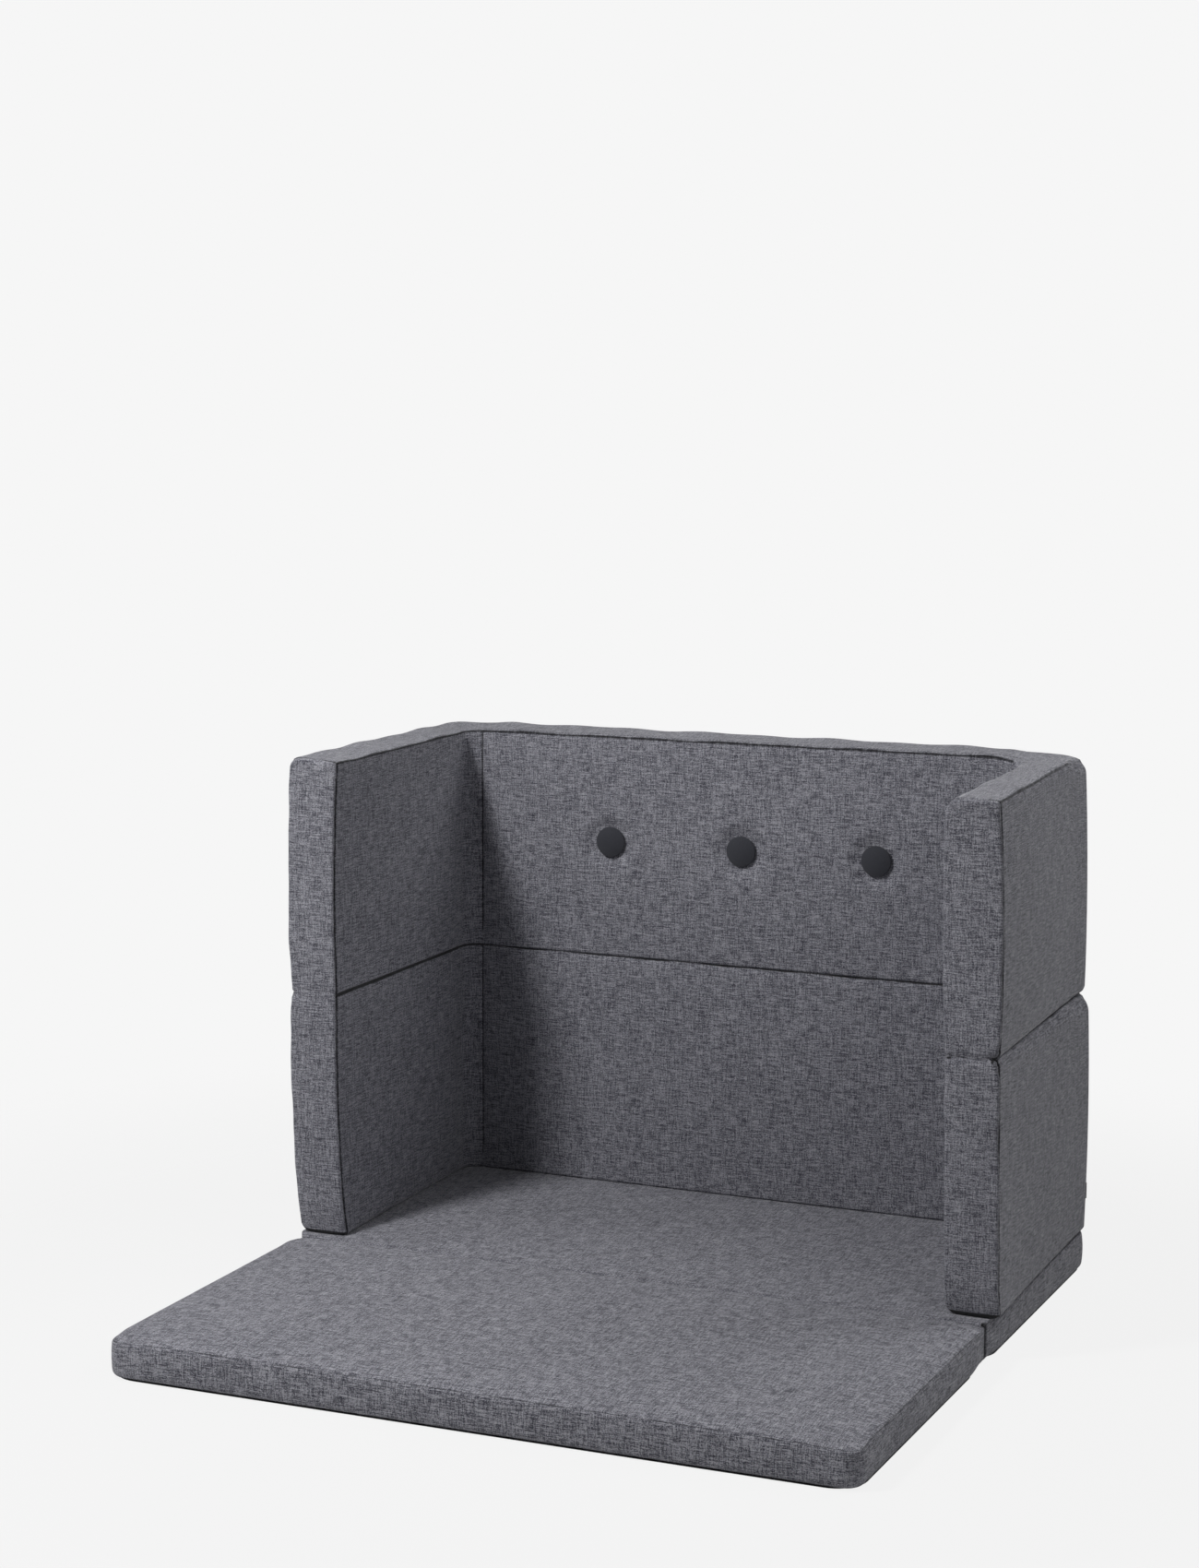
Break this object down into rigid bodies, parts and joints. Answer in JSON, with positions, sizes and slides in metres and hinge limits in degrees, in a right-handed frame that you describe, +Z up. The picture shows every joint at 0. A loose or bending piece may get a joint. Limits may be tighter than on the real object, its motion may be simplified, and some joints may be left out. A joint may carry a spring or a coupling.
{
  "type": "flip open sofa",
  "caption": "Low foam sofa with a fold-out mat and a two-level surround; the upper level turns over forwards to close a play pen.",
  "frame": {"origin": "on the floor under the fold between the two mats, at mid width", "axes": "+X to the right as seen from the front, +Y to the back, +Z up"},
  "size_m": [0.9102, 0.8967, 0.6546],
  "materials": {
    "melange_cloth": "woven melange, matt",
    "foam": "open cell polyurethane foam",
    "non_slip_cloth": "black cloth with grip dots",
    "button_cloth": "fine dark felted cloth",
    "twine": "waxed twisted twine",
    "anchor_plastic": "moulded",
    "zip_tape": "woven tape with nylon coil",
    "slider_metal": "enamelled die casting",
    "tab_tape": "plain woven tape"
  },
  "bodies": {
    "rear_base": {"rear_mat_cover": "melange_cloth", "rear_mat_foam": "foam", "rear_mat_non_slip_sheet": "non_slip_cloth", "rear_mat_zip": "zip_tape", "left_lower_arm_cover": "melange_cloth", "left_lower_arm_foam": "foam", "right_lower_arm_cover": "melange_cloth", "right_lower_arm_foam": "foam", "lower_back_cover": "melange_cloth", "lower_back_foam": "foam", "lower_back_zip": "zip_tape", "left_hinge_lower_flap": "melange_cloth", "right_hinge_lower_flap": "melange_cloth", "seam_tab": "tab_tape"},
    "front_mat": {"front_mat_cover": "melange_cloth", "front_mat_foam": "foam", "front_mat_non_slip_sheet": "non_slip_cloth", "front_mat_zip": "zip_tape"},
    "upper_surround": {"left_upper_arm_cover": "melange_cloth", "left_upper_arm_foam": "foam", "right_upper_arm_cover": "melange_cloth", "right_upper_arm_foam": "foam", "upper_back_cover": "melange_cloth", "upper_back_foam": "foam", "upper_back_zip": "zip_tape", "left_hinge_upper_flap": "melange_cloth", "right_hinge_upper_flap": "melange_cloth", "left_button": "button_cloth", "middle_button": "button_cloth", "right_button": "button_cloth", "tufting_twine": "twine", "tufting_anchor_discs": "anchor_plastic"},
    "front_mat_zip_slider": {"front_mat_zip_slider": "slider_metal"},
    "rear_mat_zip_slider": {"rear_mat_zip_slider": "slider_metal"},
    "lower_back_zip_slider": {"lower_back_zip_slider": "slider_metal"},
    "upper_back_zip_slider": {"upper_back_zip_slider": "slider_metal"}
  },
  "joints": [
    {"name": "surround_flip", "type": "hinge", "parent": "rear_base", "child": "upper_surround", "pos_m": [0, 0.01285, 0.35533], "axis": [-1, 0, 0], "range_deg": [-180, 0]},
    {"name": "front_mat_fold", "type": "hinge", "parent": "rear_base", "child": "front_mat", "pos_m": [0, 0, 0.05], "axis": [-1, 0, 0], "range_deg": [0, 90]},
    {"name": "front_mat_zip_slide", "type": "slide", "parent": "front_mat", "child": "front_mat_zip_slider", "axis": [0, -1, 0], "range_m": [0, 0.3174]},
    {"name": "rear_mat_zip_slide", "type": "slide", "parent": "rear_base", "child": "rear_mat_zip_slider", "axis": [-1, 0, 0], "range_m": [0, 0.6224]},
    {"name": "lower_back_zip_slide", "type": "slide", "parent": "rear_base", "child": "lower_back_zip_slider", "axis": [-1, 0, 0], "range_m": [0, 0.6224]},
    {"name": "upper_back_zip_slide", "type": "slide", "parent": "upper_surround", "child": "upper_back_zip_slider", "axis": [-1, 0, 0], "range_m": [0, 0.6224]}
  ]
}
